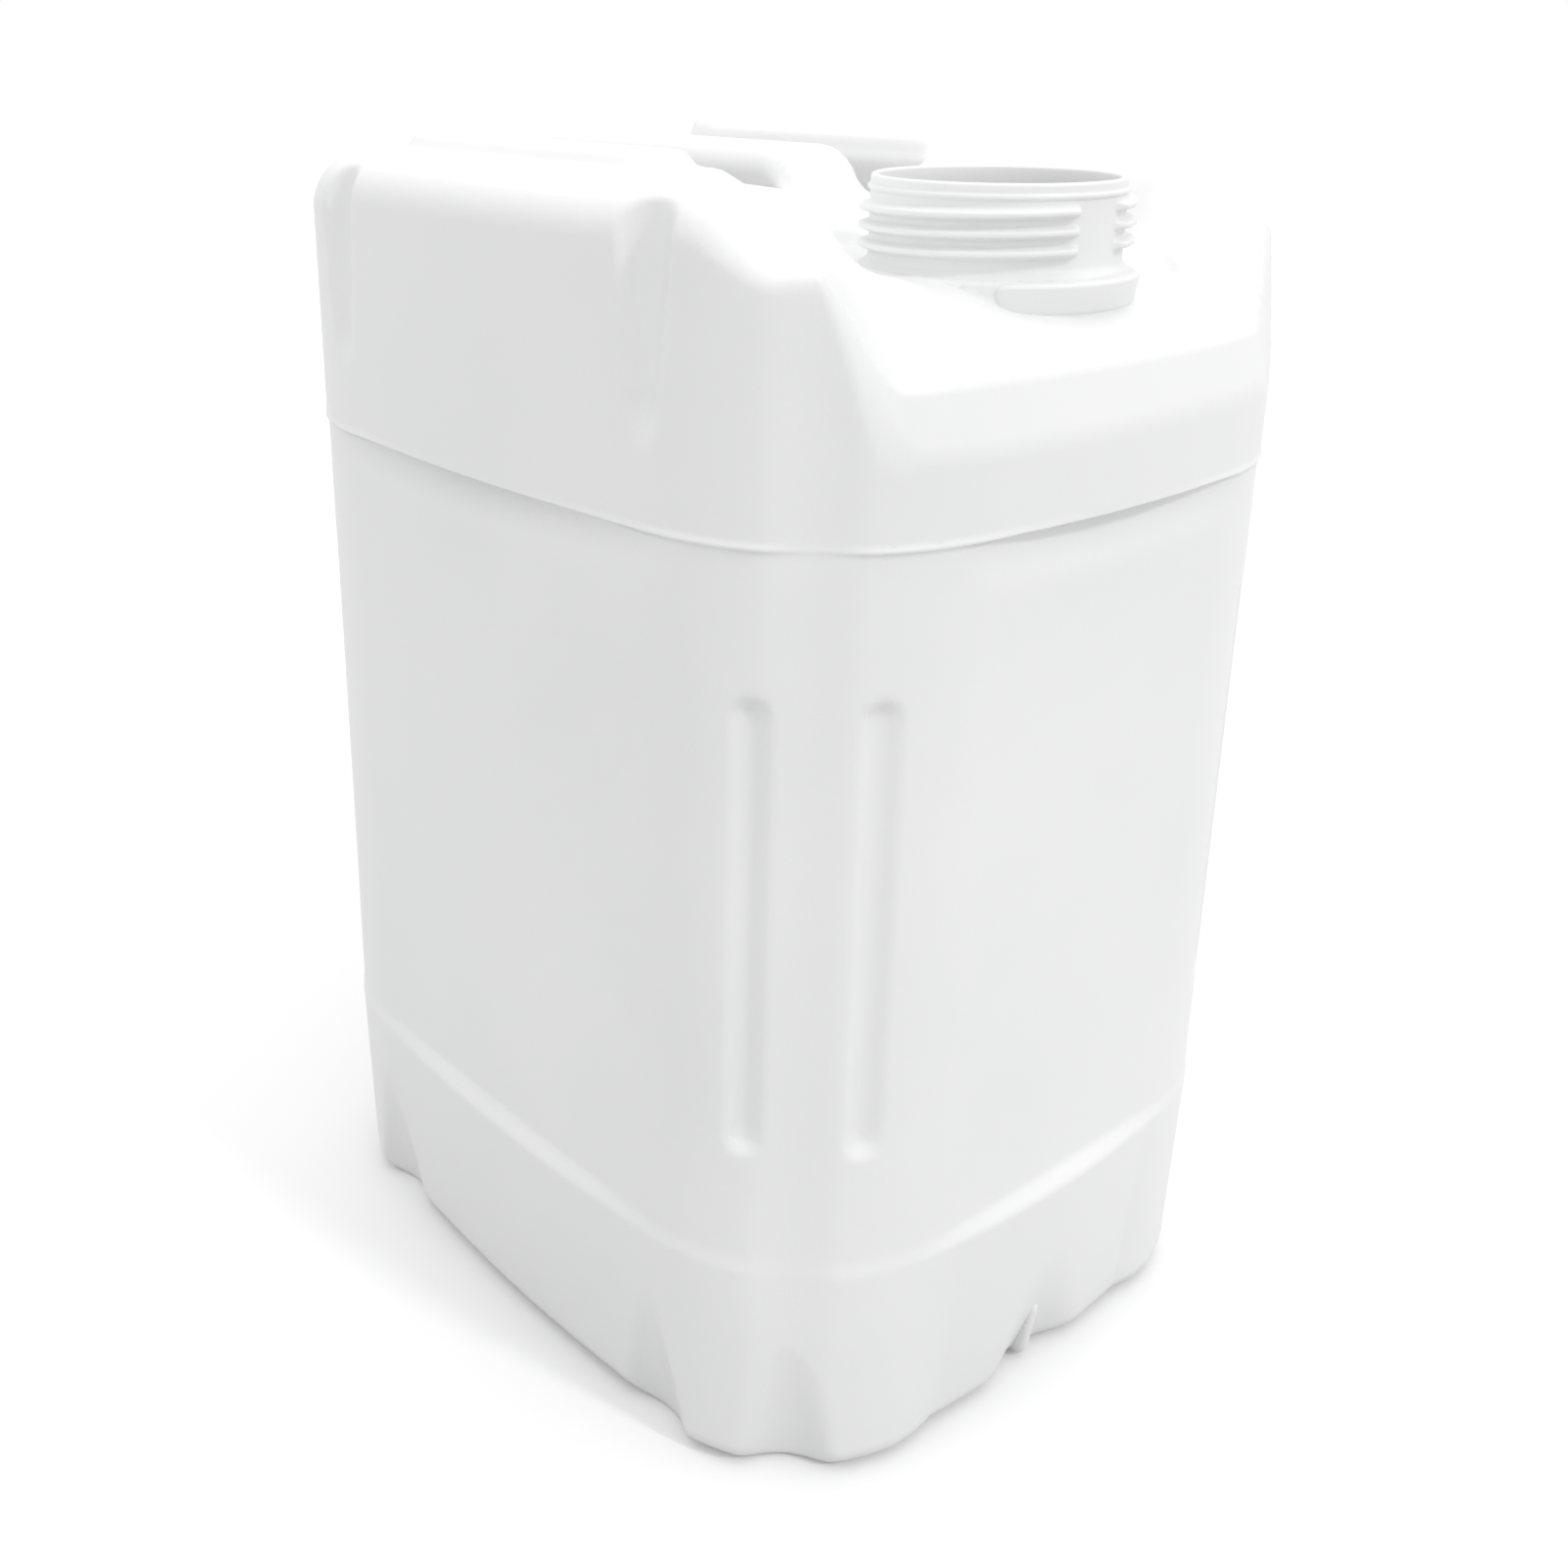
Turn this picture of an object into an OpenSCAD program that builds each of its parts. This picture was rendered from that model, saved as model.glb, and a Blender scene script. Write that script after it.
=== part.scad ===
// Stackable jerrycan used as a fresh water tank: a hollow blow-moulded body with an
// integral handle and a screw neck, and the closure that belongs to it.
// The neck end faces -Y, +Z is up, and the origin is the centre of the resting face.

/* [Body] */
// Width of the body over its long sides
body_w = 245; // [225:1:270]
// Length of the body from the neck end to the back
body_l = 290; // [270:1:320]
// Radius of the four upright corners
corner_r = 66; // [50:1:75]
// How far each side bulges out at its middle
crown = 4; // [1:0.5:6]
// Thickness of the moulded wall
wall = 2; // [1.4:0.1:3]

/* [Heights] */
// Height of the shoulders, the flat tops of the long sides
shoulder_h = 388; // [360:1:430]
// Height that the two stacking ridges stand above the shoulders
ridge_rise = 5; // [3:1:8]
// How far the deck around the neck lies below the shoulders
deck_drop = 20; // [12:1:24]
// Height of the lower band
lower_band_h = 77; // [60:1:90]
// Height of the upper band, from its lower edge to the shoulders
upper_band_h = 88; // [80:1:115]
// How far the front face's top edge lies below the shoulders
front_drop = 63; // [58:1:68]

/* [Bands, grooves and flutes] */
// Depth of the middle panel behind the two bands
panel_depth = 3; // [1:0.5:5]
// How far the lower band draws in at the base
base_draw = 6; // [3:0.5:9]
// Radius of the edge around the base
base_edge_r = 9; // [5:0.5:12]
// Width of a corner groove
groove_w = 10; // [7:0.5:13]
// Depth of a corner groove
groove_depth = 4; // [2:0.5:5]
// Width of a tapered side flute at the top edge
top_flute_w = 20; // [14:1:24]
// Width of an arrow-shaped side hollow at the base
base_flute_w = 33; // [24:1:36]
// Depth of the side flutes where they open
flute_depth = 6; // [3:0.5:8]

/* [Handle] */
// Width of the handle bar
handle_w = 34; // [26:1:38]
// Height of the handle bar
handle_h = 27; // [22:1:32]
// Length of the finger gap under the handle
grip_l = 112; // [100:1:125]
// Clear height of the finger gap under the handle
grip_h = 34; // [28:1:40]
// Width of the hand trough on each side of the handle
trough_w = 31; // [28:1:34]

/* [Neck] */
// Diameter of the thread over its crests
thread_d = 78; // [74:0.5:82]
// Height of the thread over the neck
thread_h = 3; // [2:0.25:3.5]
// Thickness of the neck's wall
neck_wall = 2; // [1.6:0.1:2.5]
// Clearance between the round seat and the neck that stands in it
seat_gap = 11.5; // [9:0.5:13]
// Width of the rim between the seat and the front face
seat_margin = 6.5; // [5:0.5:12]
// Height of the neck's lip over the shoulders
lip_rise = 0; // [-3:1:3]
// Rise of the thread in one turn
thread_pitch = 5.2; // [4.8:0.1:5.6]

/* [Closure] */
// Clearance between the neck's thread and the cap's skirt, on the radius
cap_clearance = 0.6; // [0.4:0.1:1]
// Thickness of the cap's skirt and top
cap_wall = 2.6; // [2:0.1:3.2]
// Height of the cap without its tamper band
cap_h = 24; // [20:1:28]
// Number of grip ribs around the cap
cap_ribs = 48; // [24:4:72]
// Thickness of the sealing liner
liner_t = 2; // [1.5:0.1:3]
// Height of the tamper band
band_h = 6; // [5:0.5:8]
// Number of bridges that tie the tamper band to the cap
band_bridges = 12; // [6:1:16]

/* [Hidden] */
hw = body_w / 2;
hl = body_l / 2;
upper_band_z = shoulder_h - upper_band_h;
ridge_z = shoulder_h + ridge_rise;

// neck and the round seat that it stands in
neck_d = thread_d - 2 * thread_h;
neck_in_r = neck_d / 2 - neck_wall;
seat_r = neck_d / 2 + seat_gap;
neck_y = -hl + seat_r + seat_margin;
lip_z = shoulder_h + lip_rise;
seat_z = lip_z - 25;
collar_r = thread_d / 2 + 2.5;
collar_low_z = seat_z - 10;
collar_top_z = seat_z - 0.5;
collar_half_angle = 50;
thread_turns = 3;
thread_arc = 152;
thread_half_rise = atan(thread_pitch / 4 / (neck_d / 2));
thread_low_z = seat_z + 6;
thread_root = 1.9;
thread_crest = 0.5;
lip_ring_h = 1.2;
lip_ring_t = 0.8;
lip_ring_z = lip_z - 4.2;

// front: a steep chamfer, a slope up to the neck's deck, and a step up to the shoulders
front_edge_z = shoulder_h - front_drop;
deck_z = shoulder_h - deck_drop;
chamfer_depth = 5;
chamfer_rise = 16;
slope_depth = 28;
step_front_y = neck_y - 21;
step_back_y = neck_y + 3;
deck_r = seat_r + 32.5;
side_edge_r = 13;
back_edge_r = 18;
arc_step = 8;

// hand trough and handle, placed from the back face
trough_back_y = hl - 37;
trough_front_y = trough_back_y - grip_l - 18;
trough_x = handle_w / 2 + trough_w;
grip_top_z = ridge_z - 1 - handle_h;
trough_floor_z = grip_top_z - grip_h;
handle_top_z = ridge_z - 1;
trough_edge_r = 8;

// stacking ridges beside the troughs
ridge_front_y = trough_front_y + 1;
ridge_back_y = trough_back_y;
ridge_w = 27;
ridge_slope = 4;
lug_l = 17;
lug_rise = 3;

// corner grooves: either side of a line a little nearer the end face than the corner's middle
groove_angle = 15.5;
groove_middle = 227;
groove_low_z = lower_band_h + 47;
groove_high_z = upper_band_z - 45.5;
corner_flute_r = 30;
corner_flute_depth = 1.8;

// tapered flutes on the long sides
flute_y = hl - 68;
top_flute_low_z = upper_band_z + 22;
base_flute_cone_h = 64;
top_flute_r = chord_radius(top_flute_w, flute_depth);
base_flute_r = chord_radius(base_flute_w, flute_depth);

// notch at the base of the front face with the pinched-off weld in it
notch_r = 28;
notch_cone_h = 42;
notch_depth = 9;
tail_t = 4;
tail_low_z = 1;
tail_high_z = 25;
tail_in_low = base_draw + 4;
tail_in_high = 5;

// closure, lying on its open side behind the body
cap_in_r = thread_d / 2 + cap_clearance;
cap_r = cap_in_r + cap_wall;
band_gap = 0.8;
bridge_w = 2.5;
bridge_t = 1.2;
rib_r = 1.1;
cap_dish = 1;
cap_rim = 9;
cap_thread_r = neck_d / 2 + 0.6;
cap_thread_z = 4;
cap_turns = 2;
liner_r = neck_d / 2 + 1;
cap_x = 42;
cap_y = hl + 14 + cap_r;

// radius of the circle that cuts a hollow of width w and depth d into a flat face
function chord_radius(w, d) = (w * w / 4 + d * d) / (2 * d);

// unit vector from a to b
function dir(a, b) = (b - a) / norm(b - a);

// the arc that rounds corner b between a and c to radius r, as a list of points
function round_corner(a, b, c, r, n) =
    let (u = dir(b, a),
         v = dir(b, c),
         half = acos(u * v) / 2,
         centre = b + dir([0, 0], u + v) * r / sin(half),
         p = b + u * r / tan(half),
         q = b + v * r / tan(half),
         start = atan2(p[1] - centre[1], p[0] - centre[0]),
         end = atan2(q[1] - centre[1], q[0] - centre[0]),
         turn = end - start > 180 ? end - start - 360
              : end - start < -180 ? end - start + 360
              : end - start)
    [for (i = [0 : n]) centre + r * [cos(start + turn * i / n), sin(start + turn * i / n)]];

// an outline of [x, y, radius] points with each corner rounded to its radius
function rounded(points, n = 5) =
    [for (i = [0 : len(points) - 1])
        let (count = len(points),
             a = points[(i + count - 1) % count],
             b = points[i],
             c = points[(i + 1) % count])
        each b[2] <= 0 ? [[b[0], b[1]]]
           : round_corner([a[0], a[1]], [b[0], b[1]], [c[0], c[1]], b[2], n)];

// depth lost at distance t from the middle of a side that bulges; sink flattens the bulge
function bulge_loss(t, half, sink) = sink + (crown - sink) * t * t / half / half;

// plan outline drawn in by inset: four crowned sides between four round corners
function plan_points(inset, sink) =
    let (w = hw - inset,
         l = hl - inset,
         r = corner_r - inset,
         cx = w - crown - r,
         cy = l - crown - r,
         steps = 4)
    [for (q = [0 : 3])
        let (along_x = q % 2 == 1,
             half = along_x ? cx : cy,
             out = along_x ? l : w,
             sx = q == 0 || q == 3 ? 1 : -1,
             sy = q < 2 ? 1 : -1)
        each concat(
            [for (i = [-steps + 1 : steps - 1])
                let (t = half * i / steps, d = out - bulge_loss(t, half, sink))
                q == 0 ? [d, t] : q == 1 ? [-t, d] : q == 2 ? [-d, -t] : [t, -d]],
            [for (i = [0 : arc_step])
                let (a = 90 * q + 90 * i / arc_step)
                [sx * cx, sy * cy] + r * [cos(a), sin(a)]])];

// upright prism of the plan outline
module plan_prism(inset, low, high, sink = 0)
    translate([0, 0, low])
        linear_extrude(height = high - low)
            polygon(plan_points(inset, sink));

// the body seen along its length, drawn in by inset
module front_view(inset) {
    w = hw - inset;
    top = shoulder_h - inset;
    rotate([90, 0, 0])
        linear_extrude(height = body_l + 2, center = true)
            polygon(rounded([
                [-w + base_draw, inset, base_edge_r],
                [w - base_draw, inset, base_edge_r],
                [w, lower_band_h, 0],
                [w, top, side_edge_r],
                [-w, top, side_edge_r],
                [-w, lower_band_h, 0]]));
}

// the body seen from the side, drawn in by inset: the front falls off below the shoulders
module side_view(inset) {
    l = hl - inset;
    top = shoulder_h - inset;
    deck = deck_z - inset;
    front = front_edge_z - inset;
    rotate([90, 0, 90])
        linear_extrude(height = body_w + 2, center = true)
            polygon(rounded([
                [-l + base_draw, inset, base_edge_r],
                [l - base_draw, inset, base_edge_r],
                [l, lower_band_h, 0],
                [l, top, back_edge_r],
                [step_back_y, top, 8],
                [step_front_y, deck, 8],
                [-l + slope_depth, deck, 8],
                [-l + chamfer_depth, front + chamfer_rise, 4],
                [-l, front, 2],
                [-l, lower_band_h, 0]]));
}

// two bands with the panel between them, and the shoulders; inset draws it all in
module envelope(inset) {
    intersection() {
        union() {
            plan_prism(inset, 0, lower_band_h);
            plan_prism(inset, lower_band_h - 1, upper_band_z + 1, sink = panel_depth);
            plan_prism(inset, upper_band_z, shoulder_h);
        }
        front_view(inset);
        side_view(inset);
    }
}

// one copy of the children at each of the four corners, which lie at (-, -) when drawn
module at_corners()
    for (mx = [0, 1], my = [0, 1])
        mirror([mx, 0, 0])
            mirror([0, my, 0])
                children();

// one copy at the left and one at the right
module both_sides()
    for (mx = [0, 1])
        mirror([mx, 0, 0])
            children();

// upright groove with round ends on each side of a corner's middle; grow thickens it
module corner_grooves(grow) {
    centre = [-hw + crown + corner_r, -hl + crown + corner_r, 0];
    r = groove_w / 2 + grow;
    for (side = [-1, 1])
        translate(centre)
            rotate([0, 0, groove_middle + side * groove_angle])
                translate([corner_r - groove_depth + groove_w / 2, 0, 0]) {
                    translate([0, 0, groove_low_z])
                        cylinder(h = groove_high_z - groove_low_z, r = r, $fn = 40);
                    translate([0, 0, groove_low_z])
                        sphere(r = r, $fn = 40);
                    translate([0, 0, groove_high_z])
                        sphere(r = r, $fn = 40);
                }
}

// shallow hollow that runs up the middle of a corner
module corner_flute(grow) {
    centre = [-hw + crown + corner_r, -hl + crown + corner_r, -1];
    translate(centre)
        rotate([0, 0, 225])
            translate([corner_r - corner_flute_depth + corner_flute_r, 0, 0])
                cylinder(h = shoulder_h + 2, r = corner_flute_r + grow, $fn = 64);
}

// tapered hollow on a long side that opens at the top edge
module top_flute(grow)
    translate([-hw + crown + flute_depth - top_flute_r, -flute_y, top_flute_low_z])
        cylinder(h = shoulder_h - top_flute_low_z,
                 r1 = top_flute_r - flute_depth + grow, r2 = top_flute_r + grow, $fn = 64);

// cone that leans out of a side and leaves an arrow-shaped hollow, deepest at the base
module base_cone(r, depth, height, grow)
    translate([0, 0, -1])
        cylinder(h = height + 1, r1 = r + grow, r2 = r - base_draw - depth + grow, $fn = 64);

// arrow-shaped hollow at the base of a long side
module base_flute(grow)
    translate([-hw + crown + base_draw - base_flute_r + flute_depth, -flute_y, 0])
        base_cone(base_flute_r, flute_depth, base_flute_cone_h, grow);

// arrow-shaped notch at the base of each end face
module base_notch(grow)
    for (end = [-1, 1])
        translate([0, end * (hl - base_draw + notch_r - notch_depth), 0])
            base_cone(notch_r, notch_depth, notch_cone_h, grow);

// the hand trough: two open slots beside the handle and the finger gap under it
module hand_trough(grow) {
    low = trough_floor_z - grow;
    length = trough_back_y - trough_front_y + 2 * grow;
    middle = (trough_front_y + trough_back_y) / 2;
    both_sides()
        translate([handle_w / 2 - grow, middle, low])
            slot_block(trough_w + 2 * grow, length, ridge_z + 10 - low, grow);
    translate([0, middle, low])
        rotate([90, 0, 90])
            linear_extrude(height = handle_w + 2 * trough_edge_r, center = true)
                polygon(rounded([
                    [-grip_l / 2 - grow, 0, trough_edge_r + grow],
                    [grip_l / 2 + grow, 0, trough_edge_r + grow],
                    [grip_l / 2 + grow, grip_h + 2 * grow, trough_edge_r + grow],
                    [-grip_l / 2 - grow, grip_h + 2 * grow, trough_edge_r + grow]]));
}

// block from x = 0 with its four upright edges rounded
module slot_block(w, l, h, grow)
    linear_extrude(height = h)
        polygon(rounded([
            [0, -l / 2, trough_edge_r + grow],
            [w, -l / 2, trough_edge_r + grow],
            [w, l / 2, trough_edge_r + grow],
            [0, l / 2, trough_edge_r + grow]]));

// low deck around the neck: a cone that opens upwards from the deck to the shoulders
module neck_deck(grow)
    translate([0, neck_y, deck_z - grow])
        cylinder(h = deck_drop + 2 * grow + 1,
                 r1 = deck_r + grow, r2 = deck_r + deck_drop + 2 * grow + 1, $fn = 96);

// handle bar and the ridge beside each trough, rising from the roof; inset draws them in
module crests(inset) {
    low = deck_z - 6;
    top = ridge_z - inset;
    both_sides()
        ridge(trough_x + inset, trough_x + ridge_w - inset,
              ridge_front_y + inset, ridge_back_y - inset, low, top);
    both_sides()
        ridge(trough_x + 4 + inset, trough_x + ridge_w - 6 - inset,
              ridge_back_y - lug_l + inset, ridge_back_y - inset, low, top + lug_rise);
    ridge(-handle_w / 2 + inset, handle_w / 2 - inset,
          trough_front_y - 6 + inset, trough_back_y + 4 - inset, low, handle_top_z - inset);
}

// raised block between the given sides, with sloping ends
module ridge(x_low, x_high, y_low, y_high, low, high)
    translate([x_low, 0, 0])
        rotate([90, 0, 90])
            linear_extrude(height = x_high - x_low)
                polygon(rounded([
                    [y_low, low, 0],
                    [y_high, low, 0],
                    [y_high, high - ridge_slope - 4, 0],
                    [y_high - ridge_slope, high, ridge_slope],
                    [y_low + ridge_slope, high, ridge_slope],
                    [y_low, high - ridge_slope - 4, 0]]));

// round seat around the neck, open at the top
module neck_seat(grow)
    translate([0, neck_y, seat_z - grow])
        cylinder(h = shoulder_h + 20 - seat_z, r = seat_r + grow, $fn = 96);

// half turns of an interrupted right-hand thread, each short of the parting line on both
// sides and tilted to the thread's rise; root and crest are radii, turns counts the rows
module thread(root, crest, turns)
    for (turn = [0 : turns - 1], side = [-1, 1])
        translate([0, 0, thread_pitch * (turn + (side < 0 ? 0 : 0.5))])
            rotate([side * thread_half_rise, 0, 0])
                rotate([0, 0, side < 0 ? 180 - thread_arc / 2 : -thread_arc / 2])
                    rotate_extrude(angle = thread_arc, $fn = 96)
                        polygon([
                            [root, -thread_root],
                            [crest, -thread_crest],
                            [crest, thread_crest],
                            [root, thread_root]]);

// catch under the thread: a sector in front that holds the tamper band
module collar()
    intersection() {
        translate([0, neck_y, collar_low_z])
            cylinder(h = collar_top_z - collar_low_z, r = collar_r, $fn = 96);
        translate([0, neck_y, collar_low_z - 1])
            linear_extrude(height = collar_top_z - collar_low_z + 2)
                polygon([
                    [0, 0],
                    [-2 * collar_r * tan(collar_half_angle), -2 * collar_r],
                    [2 * collar_r * tan(collar_half_angle), -2 * collar_r]]);
    }

// weld left where the mould pinched the tube off, standing in each notch
module pinch_tail()
    for (end = [0, 1])
        mirror([0, end, 0])
            rotate([90, 0, 90])
                linear_extrude(height = tail_t, center = true)
                    polygon(rounded([
                        [-hl + tail_in_low, tail_low_z, 1.5],
                        [-hl + notch_depth + base_draw + wall, tail_low_z, 0],
                        [-hl + notch_depth + wall, tail_high_z, 0],
                        [-hl + tail_in_high, tail_high_z, 3]]));

// outer form of the body without its neck
module body_form(inset) {
    difference() {
        union() {
            difference() {
                envelope(inset);
                neck_deck(inset);
            }
            crests(inset);
        }
        hand_trough(inset);
        neck_seat(inset);
        at_corners() {
            corner_grooves(inset);
            corner_flute(inset);
            top_flute(inset);
            base_flute(inset);
        }
        base_notch(inset);
    }
}

module tank_body()
    color([0.91, 0.91, 0.9])
        difference() {
            union() {
                difference() {
                    body_form(0);
                    body_form(wall);
                }
                translate([0, neck_y, seat_z - wall])
                    cylinder(h = lip_z - seat_z + wall, d = neck_d, $fn = 96);
                translate([0, neck_y, lip_ring_z])
                    cylinder(h = lip_ring_h, r = neck_d / 2 + lip_ring_t, $fn = 96);
                translate([0, neck_y, thread_low_z])
                    thread(neck_d / 2 - neck_wall / 2, thread_d / 2, thread_turns);
                collar();
                pinch_tail();
            }
            translate([0, neck_y, collar_low_z - 4])
                cylinder(h = lip_z - collar_low_z + 5, r = neck_in_r, $fn = 96);
        }

module cap_shell()
    color([0.87, 0.87, 0.86]) {
        translate([cap_x, cap_y, band_h + band_gap])
            difference() {
                union() {
                    cylinder(h = cap_h, r = cap_r, $fn = 96);
                    for (i = [0 : cap_ribs - 1])
                        rotate([0, 0, 360 * i / cap_ribs])
                            translate([cap_r, 0, 0])
                                cylinder(h = cap_h - 2, r = rib_r, $fn = 16);
                }
                translate([0, 0, -1])
                    cylinder(h = cap_h - cap_wall + 1, r = cap_in_r, $fn = 96);
                translate([0, 0, cap_h - cap_dish])
                    cylinder(h = cap_dish + 1, r = cap_r - cap_rim, $fn = 96);
            }
        translate([cap_x, cap_y, band_h + band_gap + cap_thread_z])
            thread(cap_in_r + cap_wall / 2, cap_thread_r, cap_turns);
    }

module cap_liner()
    color([0.75, 0.75, 0.74])
        translate([cap_x, cap_y, band_h + band_gap + cap_h - cap_wall - liner_t])
            cylinder(h = liner_t, r = liner_r, $fn = 96);

module cap_tamper_band()
    color([0.87, 0.87, 0.86])
        translate([cap_x, cap_y, 0]) {
            difference() {
                cylinder(h = band_h, r = cap_r, $fn = 96);
                translate([0, 0, -1])
                    cylinder(h = band_h + 2, r = cap_in_r, $fn = 96);
            }
            for (i = [0 : band_bridges - 1])
                rotate([0, 0, 360 * i / band_bridges])
                    translate([cap_in_r + 0.4, -bridge_w / 2, band_h - 1])
                        cube([bridge_t, bridge_w, 1 + band_gap]);
        }

tank_body();
cap_shell();
cap_liner();
cap_tamper_band();
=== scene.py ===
"""A stackable, blow-moulded fresh water tank in natural polyethylene, with its closure.

The tank is one hollow moulding: two bands with a panel between them, a front that falls off
below the shoulders, a neck on a low deck, and a handle between two hand troughs. Its outer and inner walls are
level surfaces of one implicit form, and everything turned or moulded on it is a grid.
Lengths in the classes are millimetres; meshes are written in metres.
"""

import logging
from dataclasses import dataclass, field
from enum import Enum

import bmesh
import bpy
import numpy as np
from mathutils import Matrix, Vector

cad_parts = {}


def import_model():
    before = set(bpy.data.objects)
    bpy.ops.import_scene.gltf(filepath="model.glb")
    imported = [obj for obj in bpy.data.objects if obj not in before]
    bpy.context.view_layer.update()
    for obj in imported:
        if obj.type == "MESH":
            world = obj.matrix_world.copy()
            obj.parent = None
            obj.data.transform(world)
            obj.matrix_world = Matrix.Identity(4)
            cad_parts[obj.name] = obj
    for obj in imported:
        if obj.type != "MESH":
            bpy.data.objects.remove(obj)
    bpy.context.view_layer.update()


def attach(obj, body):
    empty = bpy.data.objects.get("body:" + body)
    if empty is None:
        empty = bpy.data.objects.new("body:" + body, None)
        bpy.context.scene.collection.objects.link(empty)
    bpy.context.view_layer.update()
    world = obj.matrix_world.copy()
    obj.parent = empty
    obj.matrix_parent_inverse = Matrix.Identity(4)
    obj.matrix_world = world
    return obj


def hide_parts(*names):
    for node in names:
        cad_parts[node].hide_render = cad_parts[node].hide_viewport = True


Array = np.ndarray

log = logging.getLogger("fresh_water_tank")
MM = 0.001


class Body(Enum):
    """The two bodies of the assembly."""

    TANK = "tank"
    CAP = "cap"


class Slot(Enum):
    """The record's material slots."""

    POLYETHYLENE = "natural_polyethylene"
    CAP_PLASTIC = "cap_plastic"
    FOAM = "liner_foam"


# ---------------------------------------------------------------- implicit shapes


def round_max(a: Array, b: Array, radius: float | Array) -> Array:
    """Intersection of two forms whose shared edge is rounded.

    The deeper of both, except where both lie within the radius: there the
    distance to a quarter circle of that radius.

    Args:
        a: signed distances of the first form, negative inside.
        b: signed distances of the second form.
        radius: radius of the rounded edge.

    Returns:
        Signed distances of the rounded intersection.
    """
    flat = np.minimum(np.maximum(a, b), -radius)
    return flat + np.hypot(np.maximum(a + radius, 0), np.maximum(b + radius, 0))


def round_min(a: Array, b: Array, radius: float | Array) -> Array:
    """Union of two forms with a fillet of that radius where they meet.

    Args:
        a: signed distances of the first form, negative inside.
        b: signed distances of the second form.
        radius: radius of the fillet.

    Returns:
        Signed distances of the filleted union.
    """
    return -round_max(-a, -b, radius)


def soft_max(a: Array, b: Array, reach: float | Array) -> Array:
    """Intersection of two forms whose shared edge is eased, at any angle.

    The larger of both, raised by a parabola of a quarter of the reach where the two
    are closer than the reach.

    Args:
        a: signed distances of the first form.
        b: signed distances of the second form, inverted where it is cut away.
        reach: how near the two surfaces are where the easing begins.

    Returns:
        Signed distances of the eased intersection.
    """
    share = np.maximum(reach - np.abs(a - b), 0) / reach
    return np.maximum(a, b) + share**2 * reach / 4


def ramp(value: Array, low: float, high: float) -> Array:
    """Smooth step from 0 at low to 1 at high: 3t squared less 2t cubed."""
    t = np.clip((value - low) / (high - low), 0, 1)
    return t * t * (3 - 2 * t)


def block(
    x: Array, y: Array, z: Array, low: tuple, high: tuple, radius: float
) -> Array:
    """Signed distance of a box with rounded edges.

    Args:
        x: x coordinates.
        y: y coordinates.
        z: z coordinates.
        low: the box's lowest corner.
        high: the box's highest corner.
        radius: radius of all its edges.

    Returns:
        Signed distances, negative inside.
    """
    q = [
        np.abs(p - (a + b) / 2) - ((b - a) / 2 - radius)
        for p, a, b in zip((x, y, z), low, high)
    ]
    outside = np.sqrt(sum(np.maximum(c, 0) ** 2 for c in q))
    inside = np.minimum(np.maximum(np.maximum(q[0], q[1]), q[2]), 0)
    return outside + inside - radius


def pillar(
    x: Array, y: Array, z: Array, low: tuple, high: tuple, corner: float, edge: float
) -> Array:
    """Signed distance of an upright prism.

    Args:
        x: x coordinates.
        y: y coordinates.
        z: z coordinates.
        low: lowest x, y and z.
        high: highest x, y and z.
        corner: radius of its corners in plan.
        edge: radius of its upper edge.

    Returns:
        Signed distances, negative inside.
    """
    qx = np.abs(x - (low[0] + high[0]) / 2) - ((high[0] - low[0]) / 2 - corner)
    qy = np.abs(y - (low[1] + high[1]) / 2) - ((high[1] - low[1]) / 2 - corner)
    flat = np.hypot(np.maximum(qx, 0), np.maximum(qy, 0)) - corner
    form = round_max(flat + np.minimum(np.maximum(qx, qy), 0), z - high[2], edge)
    return np.maximum(form, low[2] - z)


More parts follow.
